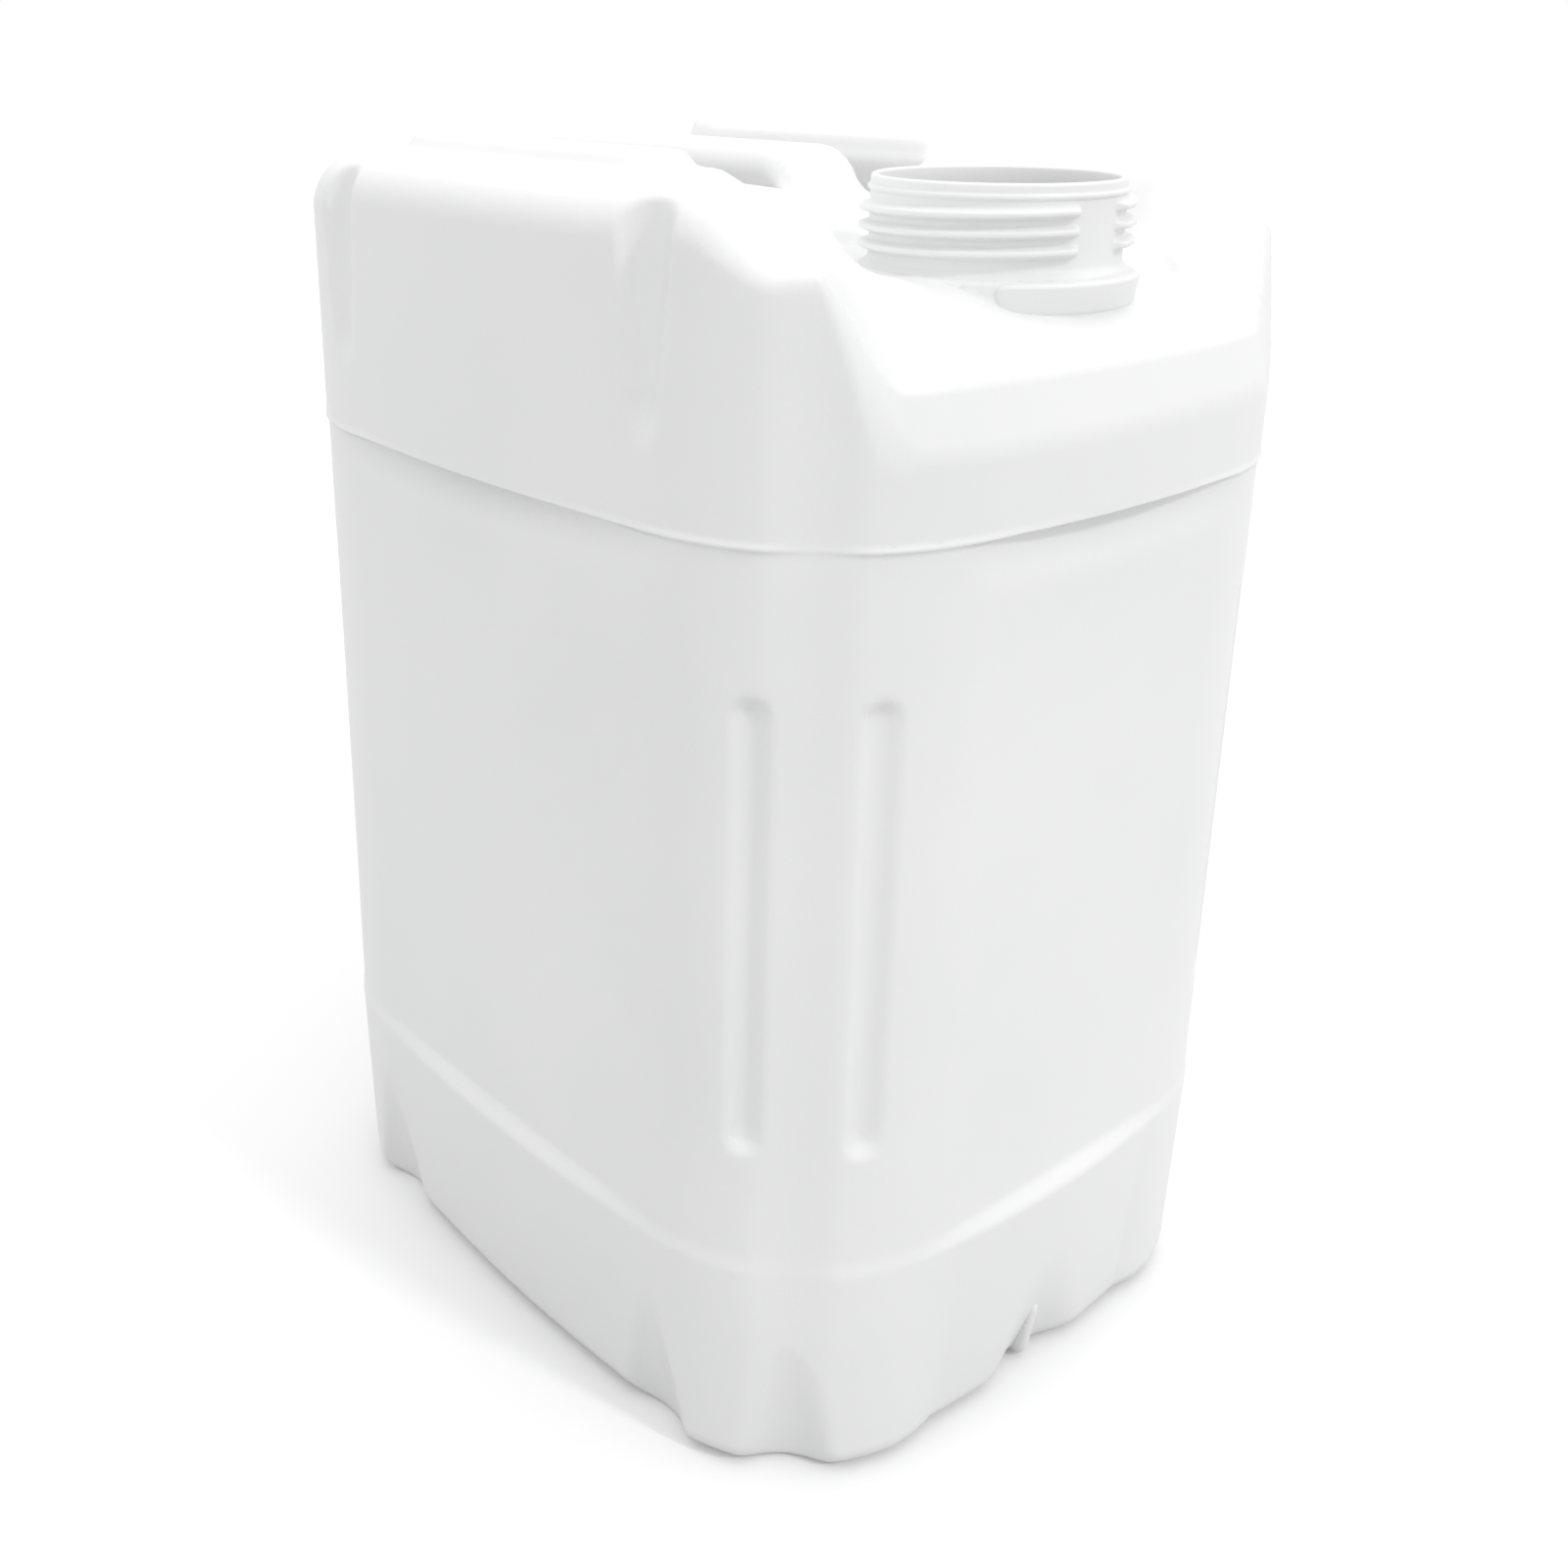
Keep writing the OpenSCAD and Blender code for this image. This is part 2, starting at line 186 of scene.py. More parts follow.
@dataclass(frozen=True)
class TankForm:
    """The moulding's form as a signed distance, in millimetres, without its neck."""

    half_w: float = 122.5
    half_l: float = 145.0
    corner_r: float = 66.0
    crown: float = 4.0
    shoulder: float = 388.0
    deck_z: float = 366.0
    deck_r: float = 70.0
    ridge_top: float = 393.0
    lug_top: float = 396.0
    bar_top: float = 392.0
    trough_floor: float = 331.0
    apron_r: float = 58.0
    pedestal_r: float = 39.8
    front_z: float = 325.0
    lower_band: float = 77.0
    upper_band: float = 300.0
    panel_depth: float = 3.0
    corner_depth: float = 0.6
    cove_depth: float = 4.5
    base_draw: float = 6.0
    base_edge: float = 9.0
    neck_y: float = -91.0
    seat_r: float = 47.5
    seat_z: float = 363.0
    groove_middle: float = 47.0
    groove_angle: float = 15.5
    groove_low: float = 124.0
    groove_high: float = 254.5
    groove_r: float = 5.0
    groove_depth: float = 3.4
    flute_y: float = 77.0

    def plan(self, x: Array, y: Array) -> tuple[Array, Array]:
        """Distance outside the plan outline, and how far its sides bulge.

        A rounded rectangle whose sides bulge by the power 1.5 of one less the square of
        the place along them; the bulge is a share of the crown.
        """
        cx = self.half_w - self.crown - self.corner_r
        cy = self.half_l - self.crown - self.corner_r
        qx = np.abs(x) - cx
        qy = np.abs(y) - cy
        px = np.maximum(qx, 0)
        py = np.maximum(qy, 0)
        flat = np.hypot(px, py) + np.minimum(np.maximum(qx, qy), 0) - self.corner_r
        reach = px**2 + py**2 + 1e-9
        swell_x = np.maximum(1 - (y / (cy + 14)) ** 2, 0) ** 1.5 * px**2 / reach
        swell_y = np.maximum(1 - (x / (cx + 14)) ** 2, 0) ** 1.5 * py**2 / reach
        return flat, swell_x + swell_y

    def sides(self, x: Array, y: Array, z: Array) -> Array:
        """Distance outside the upright walls.

        Between the bands the panel takes part of the bulge away, most of all in a cove
        under the upper band, and the lower band draws in to the base in a straight line.
        """
        flat, swell = self.plan(x, y)
        under_lip = 1 - ramp(z, self.upper_band - 0.4, self.upper_band + 1.2)
        panel = ramp(z, self.lower_band - 1.5, self.lower_band + 5.5) * under_lip
        cove = ramp(z, self.upper_band - 18, self.upper_band - 1) ** 1.6 * under_lip
        depth = self.panel_depth * panel + self.cove_depth * cove
        bead = 0.4 * (1 - swell) * ramp(1.3 - np.abs(z - self.upper_band - 1.4), 0, 1.2)
        draw = self.base_draw * np.maximum(1 - z / self.lower_band, 0)
        draw = draw * (0.35 + 0.65 * np.minimum(3 * swell, 1))
        recess = self.corner_depth * panel - bead
        return flat - (self.crown - depth) * swell + recess + draw

    def front_turn(self, x: Array, y: Array) -> Array:
        """Angle round a front corner: 0 along the long side, 90 along the front."""
        cx = self.half_w - self.crown - self.corner_r
        cy = self.half_l - self.crown - self.corner_r
        px = np.maximum(np.abs(x) - cx, 0)
        return np.degrees(np.arctan2(np.maximum(-y - cy, 0), px))

    def deck(self, x: Array, y: Array) -> Array:
        """Height of the roof behind the front slope: shoulders with the neck's low deck.

        A smooth step leads down from the shoulders where a line across the tank and a
        circle round the neck, filleted into each other, are crossed.
        """
        circle = np.hypot(x, y - self.neck_y) - self.deck_r
        edge = round_min(y + 100, circle, 10)
        low = self.deck_z + 5 * ramp(np.abs(x), 60, 100)
        return self.shoulder - (self.shoulder - low) * (1 - ramp(edge, -13, 14))

    def roof(self, x: Array, y: Array, z: Array) -> Array:
        """Distance above the roof and its fall to the front.

        The front rim sinks round each front corner in a smooth step. From the rim
        inwards the roof climbs in straight lines, each flatter than the last: a
        steep chamfer, a slope and an easy rise to the deck.
        """
        flat, swell = self.plan(x, y)
        inward = self.crown * swell - flat
        share = ramp(self.front_turn(x, y), 38, 66)
        deck = self.deck(x, y)
        rim = (deck + 6) * (1 - share) + self.front_z * share
        roof = z - deck
        front = y < -75
        for start, rise, climb, reach in (
            (20, 34.7, 0.75, 4),
            (5, 16, 1.25, 2),
            (0, 0, 3.2, 0.5),
        ):
            level = rim + share * (rise + climb * (inward - start))
            line = (z - level) / np.sqrt(1 + (share * climb) ** 2)
            line = np.where(front & (share > 0), line, -50 * (1 + 0 * z))
            roof = soft_max(roof, line, reach * share + 0.01)
        return roof

    def crests(self, x: Array, y: Array, z: Array) -> Array:
        """Distance outside the handle bar and the stacking ridges with their lugs."""
        ax = np.abs(x)
        ridge = pillar(ax, y, z, (51, -22, 350), (75, 108, self.ridge_top), 9, 4)
        lug = block(ax, y, z, (54, 91, 350), (70, 107.5, self.lug_top), 5)
        bar = block(x, y, z, (-17, -36, 350), (17, 112, self.bar_top), 8)
        bar = soft_max(bar, (12 * (z - self.bar_top) - 20 * (y + 17)) / 23.3, 8)
        return np.minimum(round_min(ridge, lug, 3), bar)

    def hand_trough(self, x: Array, y: Array, z: Array) -> Array:
        """Distance outside the two slots beside the bar and the finger gap under it."""
        floor = self.trough_floor
        slots = block(np.abs(x), y, z, (17, -22, floor), (48, 108, 480), 8)
        gap = block(x, y, z, (-34, -13, floor), (34, 99, 365), 8)
        return round_min(slots, gap, 7)

    def seat(self, x: Array, y: Array, z: Array) -> Array:
        """Distance outside the neck's round seat."""
        radial = np.hypot(x, y - self.neck_y) - self.seat_r
        return round_max(radial, self.seat_z - z, 3)

    def apron(self, x: Array, y: Array, z: Array) -> Array:
        """Distance outside the low apron in front of the neck.

        A wide round hollow whose floor climbs in a smooth step from the front backwards.
        """
        radial = np.hypot(x, y - self.neck_y) - self.apron_r
        floor = self.seat_z - 9.5 + 11 * ramp(y, -126, -98)
        return round_max(radial, floor - z, 5)

    def pedestal(self, x: Array, y: Array, z: Array) -> Array:
        """Distance outside the round foot that the neck stands on."""
        radial = np.hypot(x, y - self.neck_y) - self.pedestal_r
        return np.maximum(round_max(radial, z - self.seat_z, 1.5), 340 - z)

    def corner_hollows(self, x: Array, y: Array, z: Array) -> tuple[Array, Array]:
        """Distances outside the grooves and the flute of a corner.

        The grooves are upright capsules either side of the corner's middle, and the
        flute is a wide upright cylinder in the middle, joined at the base by a cone.
        """
        dx = np.abs(x) - (self.half_w - self.crown - self.corner_r)
        dy = np.abs(y) - (self.half_l - self.crown - self.corner_r)
        rise = np.maximum(np.maximum(self.groove_low - z, z - self.groove_high), 0)
        away = self.corner_r - self.groove_depth + self.groove_r
        grooves = None
        for side in (-1, 1):
            angle = np.radians(self.groove_middle + side * self.groove_angle)
            flat = np.hypot(dx - away * np.cos(angle), dy - away * np.sin(angle))
            groove = np.hypot(flat, rise) - self.groove_r
            grooves = groove if grooves is None else np.minimum(grooves, groove)
        reach = (self.corner_r - 2.1 + 30) * np.sqrt(0.5)
        flute = np.hypot(dx - reach, dy - reach) - 30
        toe = np.hypot(dx - 76 * np.sqrt(0.5), dy - 76 * np.sqrt(0.5))
        toe = toe - 20 + 0.161 * np.minimum(z, 90)
        return grooves, np.minimum(flute, toe)

    def side_hollows(self, x: Array, y: Array, z: Array) -> Array:
        """Distance outside the cones that leave the flutes and arrows on the long sides."""
        away = np.abs(y) - self.flute_y
        top = np.hypot(np.abs(x) - self.half_w - 2, away)
        top = np.hypot(top, 0.45 * np.maximum(338 - z, 0)) - 8
        top = top - 4.2 * np.clip((z - 338) / 46, 0, 1)
        base = np.hypot(np.abs(x) - self.half_w - 6.8, away)
        base = base - 22 + 0.2035 * np.minimum(z, 90)
        return np.minimum(top, base)

    def end_notches(self, x: Array, y: Array, z: Array) -> Array:
        """Distance outside the cones that leave a notch at the base of both ends."""
        return np.hypot(x, np.abs(y) - 158) - 28 + 15 * np.minimum(z, 70) / 42

    def distance(self, x: Array, y: Array, z: Array) -> Array:
        """Signed distance of the whole moulding, negative inside."""
        turn = self.front_turn(x, y)
        edge = 13 + 5 * ramp(y, 50, 120) - 7 * ramp(turn, 4, 32) - 5.2 * ramp(turn, 50, 70)
        form = round_max(self.sides(x, y, z), self.roof(x, y, z), edge)
        form = round_max(form, -z, self.base_edge)
        form = round_min(form, self.crests(x, y, z), 4)
        form = round_max(form, -self.hand_trough(x, y, z), 5)
        form = round_max(form, -self.seat(x, y, z), 4)
        form = round_max(form, -self.apron(x, y, z), 6)
        form = round_min(form, self.pedestal(x, y, z), 2)
        grooves, flute = self.corner_hollows(x, y, z)
        form = soft_max(form, -flute, 3.5)
        form = soft_max(form, -grooves, 3)
        form = soft_max(form, -self.side_hollows(x, y, z), 1.6)
        return soft_max(form, -self.end_notches(x, y, z), 6)

    def slope(self, points: Array, step: float = 0.05) -> Array:
        """Gradient of the distance by central differences.

        Args:
            points: places, one row each.
            step: half the distance between the two samples on each axis.

        Returns:
            One gradient in each row.
        """
        columns = []
        for axis in range(3):
            shift = np.zeros(3)
            shift[axis] = step
            ahead = self.distance(*(points + shift).T)
            behind = self.distance(*(points - shift).T)
            columns.append((ahead - behind) / (2 * step))
        return np.stack(columns, axis=1)


# ---------------------------------------------------------------- meshes


def spaced(*stretches: tuple[float, float, float]) -> Array:
    """Grid lines over stretches that follow each other.

    Args:
        stretches: start, end and the widest spacing of each stretch.

    Returns:
        The positions of all lines in rising order.
    """
    lines = [
        np.linspace(start, end, int(np.ceil((end - start) / gap)) + 1)[:-1]
        for start, end, gap in stretches
    ]
    return np.concatenate(lines + [[stretches[-1][1]]])


def level_surface(
    form: TankForm, level: float, axes: tuple[Array, Array, Array]
) -> tuple[Array, Array, Array]:
    """Quads over the surface where the form's distance equals a level.

    Every grid cell that the surface crosses gets one vertex at the mean of the
    crossings on its edges, moved onto the surface along the gradient, and every grid
    edge that the surface crosses gets the quad between its four cells.

    Args:
        form: the implicit form.
        level: distance of the wanted surface, negative for one inside.
        axes: the grid's lines in x, y and z.

    Returns:
        Vertices, quads and outward normals.
    """
    grid = np.meshgrid(*axes, indexing="ij", sparse=True)
    values = form.distance(*grid) - level
    inside = values < 0
    cells = tuple(n - 1 for n in values.shape)
    corners = [(i, j, k) for i in (0, 1) for j in (0, 1) for k in (0, 1)]
    count = sum(
        inside[i : i + cells[0], j : j + cells[1], k : k + cells[2]].astype(np.uint8)
        for i, j, k in corners
    )
    active = (count > 0) & (count < 8)
    cell = np.argwhere(active)
    number = np.full(cells, -1, dtype=np.int64)
    number[active] = np.arange(len(cell))

    total = np.zeros((len(cell), 3))
    crossings = np.zeros(len(cell))
    quads = []
    for axis in range(3):
        step = np.eye(3, dtype=int)[axis]
        others = [np.eye(3, dtype=int)[(axis + n) % 3] for n in (1, 2)]
        for i, j in ((0, 0), (0, 1), (1, 0), (1, 1)):
            start = cell + i * others[0] + j * others[1]
            end = start + step
            a = values[tuple(start.T)]
            b = values[tuple(end.T)]
            crossed = (a < 0) != (b < 0)
            share = np.where(crossed, a / np.where(crossed, a - b, 1), 0)
            here = np.stack([axes[n][start[:, n]] for n in range(3)], axis=1)
            there = np.stack([axes[n][end[:, n]] for n in range(3)], axis=1)
            total += crossed[:, None] * (here + share[:, None] * (there - here))
            crossings += crossed
        before = np.take(inside, range(values.shape[axis] - 1), axis=axis)
        after = np.take(inside, range(1, values.shape[axis]), axis=axis)
        edge = np.argwhere(before != after)
        around = [-others[0] - others[1], -others[1], 0 * step, -others[0]]
        ring = np.stack([number[tuple((edge + o).T)] for o in around], axis=1)
        outward = before[tuple(edge.T)]
        quads.append(np.where(outward[:, None], ring, ring[:, ::-1]))

    points = total / crossings[:, None]
    for _ in range(4):
        slope = form.slope(points)
        size = np.maximum((slope**2).sum(axis=1), 0.25)
        off = np.clip((form.distance(*points.T) - level) / size, -1.5, 1.5)
        points = points - off[:, None] * slope
    slope = form.slope(points)
    normals = slope / np.linalg.norm(slope, axis=1, keepdims=True)
    return points, np.concatenate(quads), normals


def grid_faces(rows: int, columns: int, wrap_rows: bool, wrap_columns: bool) -> Array:
    """Quads between the points of a grid that is stored row by row.

    Args:
        rows: number of rows.
        columns: number of columns.
        wrap_rows: whether the last row joins the first.
        wrap_columns: whether the last column joins the first.

    Returns:
        Four point numbers in each row.
    """
    r = np.arange(rows if wrap_rows else rows - 1)[:, None]
    c = np.arange(columns if wrap_columns else columns - 1)[None, :]
    r_next = (r + 1) % rows
    c_next = (c + 1) % columns
    quads = np.stack(
        [
            r * columns + c,
            r * columns + c_next,
            r_next * columns + c_next,
            r_next * columns + c,
        ],
        axis=-1,
    )
    return quads.reshape(-1, 4)


def rounded_loop(
    corners: list[tuple[float, float, float]], steps: int = 6
) -> Array:
    """A closed outline of straight runs and rounded corners.

    Each corner is replaced by the arc of its radius that touches both its sides.

    Args:
        corners: x, y and radius of each corner in order.
        steps: points on each arc, less one.

    Returns:
        The outline's points.
    """
    points = np.array([c[:2] for c in corners], dtype=float)
    radii = [c[2] for c in corners]
    out = []
    for i, (here, radius) in enumerate(zip(points, radii)):
        u = points[i - 1] - here
        v = points[(i + 1) % len(points)] - here
        u = u / np.linalg.norm(u)
        v = v / np.linalg.norm(v)
        half = np.arccos(np.clip(u @ v, -1, 1)) / 2
        middle = (u + v) / np.linalg.norm(u + v)
        centre = here + middle * radius / np.sin(half)
        start = here + u * radius / np.tan(half) - centre
        end = here + v * radius / np.tan(half) - centre
        turn = np.arctan2(start[0] * end[1] - start[1] * end[0], start @ end)
        angle = np.linspace(0, turn, steps + 1)[:, None]
        side = np.array([-start[1], start[0]])
        out.append(centre + np.cos(angle) * start + np.sin(angle) * side)
    return np.concatenate(out)


def make_piece(
    name: str,
    points: Array,
    quads: Array,
    finish: bpy.types.Material,
    body: Body,
    normals: Array | None = None,
) -> bpy.types.Object:
    """A smooth piece from points in millimetres, riding on a body.

    Args:
        name: the piece's name.
        points: vertices, one row each, in millimetres.
        quads: four vertex numbers in each row.
        finish: the piece's material.
        body: the body that it moves with.
        normals: a normal for each vertex, or None to take them from the faces.

    Returns:
        The new object.
    """
    mesh = bpy.data.meshes.new(name)
    mesh.vertices.add(len(points))
    mesh.vertices.foreach_set("co", (points * MM).ravel())
    mesh.loops.add(quads.size)
    mesh.loops.foreach_set("vertex_index", quads.ravel())
    mesh.polygons.add(len(quads))
    mesh.polygons.foreach_set("loop_start", np.arange(0, quads.size, 4))
    mesh.update(calc_edges=True)
    if normals is None:
        work = bmesh.new()
        work.from_mesh(mesh)
        bmesh.ops.remove_doubles(work, verts=work.verts, dist=1e-6)
        bmesh.ops.recalc_face_normals(work, faces=work.faces)
        work.to_mesh(mesh)
        work.free()
    mesh.polygons.foreach_set("use_smooth", np.ones(len(mesh.polygons), dtype=bool))
    if normals is not None:
        mesh.normals_split_custom_set_from_vertices(normals.tolist())
    mesh.materials.append(finish)
    piece = bpy.data.objects.new(name, mesh)
    bpy.context.scene.collection.objects.link(piece)
    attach(piece, body.value)
    faces = sum(len(p.vertices) - 2 for p in mesh.polygons)
    log.info("%s: %d triangles on %s", name, faces, body.value)
    return piece


# ---------------------------------------------------------------- finishes


class NodeSheet:
    """A material's node tree with short ways to add and join nodes."""

    def __init__(self, name: str) -> None:
        """Starts an empty material with a Principled shader."""
        self.material = bpy.data.materials.new(name)
        self.material.use_nodes = True
        self.tree = self.material.node_tree
        self.shader = self.tree.nodes["Principled BSDF"]

    def add(self, kind: str, **settings: object) -> bpy.types.Node:
        """Adds a node.

        Args:
            kind: the node's type name.
            settings: attributes, or inputs where the name is an input's.

        Returns:
            The new node.
        """
        node = self.tree.nodes.new(kind)
        for key, value in settings.items():
            if hasattr(node, key):
                setattr(node, key, value)
            else:
                node.inputs[key.replace("_", " ")].default_value = value
        return node

    def join(
        self,
        start: bpy.types.Node,
        output: int | str,
        end: bpy.types.Node,
        socket: int | str,
    ) -> None:
        """Links an output to an input."""
        self.tree.links.new(start.outputs[output], end.inputs[socket])


@dataclass(frozen=True)
class MouldedPlastic:
    """Natural moulded polyethylene: satin, a little translucent, softly uneven."""

    name: str
    light: tuple[float, float, float] = (0.86, 0.862, 0.862)
    dark: tuple[float, float, float] = (0.825, 0.828, 0.83)
    roughness: tuple[float, float] = (0.36, 0.5)
    translucency: float = 0.12
    cloud_scale: float = 9.0
    grain_scale: float = 900.0
    grain_depth: float = 0.00006
    seam: bool = False

    def build(self) -> bpy.types.Material:
        """Builds the material.

        Slow clouds vary the colour and the gloss as the wall's thickness does, a wide
        and a fine noise make the skin uneven, and a moulding's seam is a low welt in
        the plane x = 0.

        Returns:
            The material.
        """
        sheet = NodeSheet(self.name)
        place = sheet.add("ShaderNodeTexCoord")
        clouds = sheet.add(
            "ShaderNodeTexNoise", Scale=self.cloud_scale, Detail=3.0, Roughness=0.5
        )
        colour = sheet.add("ShaderNodeValToRGB")
        colour.color_ramp.elements[0].position = 0.3
        colour.color_ramp.elements[0].color = (*self.dark, 1)
        colour.color_ramp.elements[1].position = 0.7
        colour.color_ramp.elements[1].color = (*self.light, 1)
        gloss = sheet.add("ShaderNodeMapRange")
        gloss.inputs["To Min"].default_value = self.roughness[0]
        gloss.inputs["To Max"].default_value = self.roughness[1]
        waves = sheet.add("ShaderNodeTexNoise", Scale=60.0, Detail=2.0)
        grain = sheet.add("ShaderNodeTexNoise", Scale=self.grain_scale, Detail=2.0)
        wide = sheet.add("ShaderNodeBump", Strength=0.35, Distance=0.0004)
        fine = sheet.add("ShaderNodeBump", Strength=0.5, Distance=self.grain_depth)
        for noise in (clouds, waves, grain):
            sheet.join(place, "Object", noise, "Vector")
        sheet.join(clouds, "Fac", colour, "Fac")
        sheet.join(clouds, "Fac", gloss, "Value")
        sheet.join(waves, "Fac", wide, "Height")
        sheet.join(grain, "Fac", fine, "Height")
        sheet.join(wide, "Normal", fine, "Normal")
        last = fine
        if self.seam:
            last = self.add_seam(sheet, place, fine)
        sheet.join(last, "Normal", sheet.shader, "Normal")
        sheet.join(colour, "Color", sheet.shader, "Base Color")
        sheet.join(gloss, "Result", sheet.shader, "Roughness")
        sheet.shader.inputs["IOR"].default_value = 1.5
        sheet.shader.inputs["Subsurface Weight"].default_value = self.translucency
        sheet.shader.inputs["Subsurface Radius"].default_value = (0.008, 0.008, 0.007)
        sheet.shader.inputs["Subsurface Scale"].default_value = 1.0
        return sheet.material

    def add_seam(
        self, sheet: NodeSheet, place: bpy.types.Node, under: bpy.types.Node
    ) -> bpy.types.Node:
        """Adds the welt that the two mould halves leave.

        Its height falls from one in the plane x = 0 to zero half a millimetre away.

        Args:
            sheet: the material's nodes.
            place: the coordinate node.
            under: the bump that the welt lies on.

        Returns:
            The bump node of the welt.
        """
        split = sheet.add("ShaderNodeSeparateXYZ")
        away = sheet.add("ShaderNodeMath", operation="ABSOLUTE")
        welt = sheet.add("ShaderNodeMapRange", interpolation_type="SMOOTHSTEP")
        welt.inputs["From Min"].default_value = 0.0007
        welt.inputs["From Max"].default_value = 0.0
        bump = sheet.add("ShaderNodeBump", Strength=0.15, Distance=0.0001)
        sheet.join(place, "Object", split, "Vector")
        sheet.join(split, "X", away, 0)
        sheet.join(away, 0, welt, "Value")
        sheet.join(welt, "Result", bump, "Height")
        sheet.join(under, "Normal", bump, "Normal")
        return bump


@dataclass(frozen=True)
class LinerFoam:
    """Closed-cell foam: matt, with fine round cells."""

    name: str = "liner_foam"
    colour: tuple[float, float, float] = (0.62, 0.62, 0.6)

    def build(self) -> bpy.types.Material:
        """Builds the material with a cell pattern in its relief and its colour."""
        sheet = NodeSheet(self.name)
        place = sheet.add("ShaderNodeTexCoord")
        cells = sheet.add("ShaderNodeTexVoronoi", Scale=1400.0)
        tint = sheet.add("ShaderNodeValToRGB")
        tint.color_ramp.elements[0].color = (*(c * 0.9 for c in self.colour), 1)
        tint.color_ramp.elements[1].color = (*self.colour, 1)
        bump = sheet.add("ShaderNodeBump", Strength=0.6, Distance=0.0001)
        sheet.join(place, "Object", cells, "Vector")
        sheet.join(cells, "Distance", tint, "Fac")
        sheet.join(cells, "Distance", bump, "Height")
        sheet.join(bump, "Normal", sheet.shader, "Normal")
        sheet.join(tint, "Color", sheet.shader, "Base Color")
        sheet.shader.inputs["Roughness"].default_value = 0.85
        return sheet.material


# ---------------------------------------------------------------- the tank


@dataclass
class Moulding:
    """The tank's walls: the outer skin, the inner skin and the welds at the ends."""

    form: TankForm = field(default_factory=TankForm)
    wall: float = 2.0
    mouth_r: float = 35.4
    fine: float = 2.4
    coarse: float = 5.5

    def outer_axes(self) -> tuple[Array, Array, Array]:
        """Grid lines of the outer skin, closest where its form turns fast."""
        x = spaced((-126, 126, self.fine))
        y = spaced((-148, 148, self.fine))
        z = spaced(
            (-3, 12, 1.7), (12, 70, 3), (70, 84, 1.4), (84, 112, 4), (112, 124, 2),
            (124, 252, 6), (252, 264, 2), (264, 286, 4), (286, 298, 2), (298, 302.4, 0.8),
            (302.4, 321, 3), (321, 366, 2), (366, 398, 1.4),
        )  # fmt: skip
        return x, y, z

    def inner_axes(self) -> tuple[Array, Array, Array]:
        """Grid lines of the inner skin, which shows through the mouth only."""
        x = spaced((-126, 126, self.coarse))
        y = spaced((-148, 148, self.coarse))
        z = spaced((-3, 330, 7), (330, 398, 3.5))
        return x, y, z

    def open_mouth(self, points: Array, quads: Array) -> Array:
        """Leaves out the quads that would close the neck's bore.

        Args:
            points: the skin's vertices.
            quads: the skin's quads.

        Returns:
            The quads that stay.
        """
        middle = points[quads].mean(axis=1)
        away = np.hypot(middle[:, 0], middle[:, 1] - self.form.neck_y)
        return quads[(away > self.mouth_r) | (middle[:, 2] < 340)]

    def build(self, finish: bpy.types.Material) -> None:
        """Builds both skins and the two welds."""
        points, quads, normals = level_surface(self.form, 0, self.outer_axes())
        quads = self.open_mouth(points, quads)
        skin = make_piece(
            "tank_skin", points, quads, finish, Body.TANK, normals
        )
        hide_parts("tank_body")
        points, quads, normals = level_surface(
            self.form, -self.wall, self.inner_axes()
        )
        quads = self.open_mouth(points, quads)[:, ::-1]
        make_piece(
            "tank_inner_skin",
            points,
            quads,
            finish,
            Body.TANK,
            -normals,
        )
        for end, name in ((-1, "pinch_weld_front"), (1, "pinch_weld_back")):
            self.weld(end, name, finish)

    def weld(self, end: int, name: str, finish: bpy.types.Material) -> None:
        """Builds the weld that the pinched-off tube leaves in an end notch.

        A round-edged bar is carried up the notch; its ends close over a short
        distance, as the root of one less the square of the place along them.

        Args:
            end: -1 for the front, 1 for the back.
            name: the piece's name.
            finish: its material.
        """
        t = np.linspace(0, 1, 33)[:, None]
        z = 1 + 25 * t
        near = 135.2 + 4.3 * t
        closing = np.sqrt(np.clip(1 - np.abs(2 * t - 1) ** 8, 0, 1))
        loop = rounded_loop([(-2, -9, 0.5), (2, -9, 0.5), (2, 0, 1.8), (-2, 0, 1.8)])
        x = loop[:, 0][None, :] * closing
        y = end * (near + (loop[:, 1][None, :] + 4.5) * closing - 4.5)
        points = np.stack([x, y, np.broadcast_to(z, x.shape)], axis=-1).reshape(-1, 3)
        quads = grid_faces(len(t), len(loop), False, True)
        make_piece(name, points, quads, finish, Body.TANK)


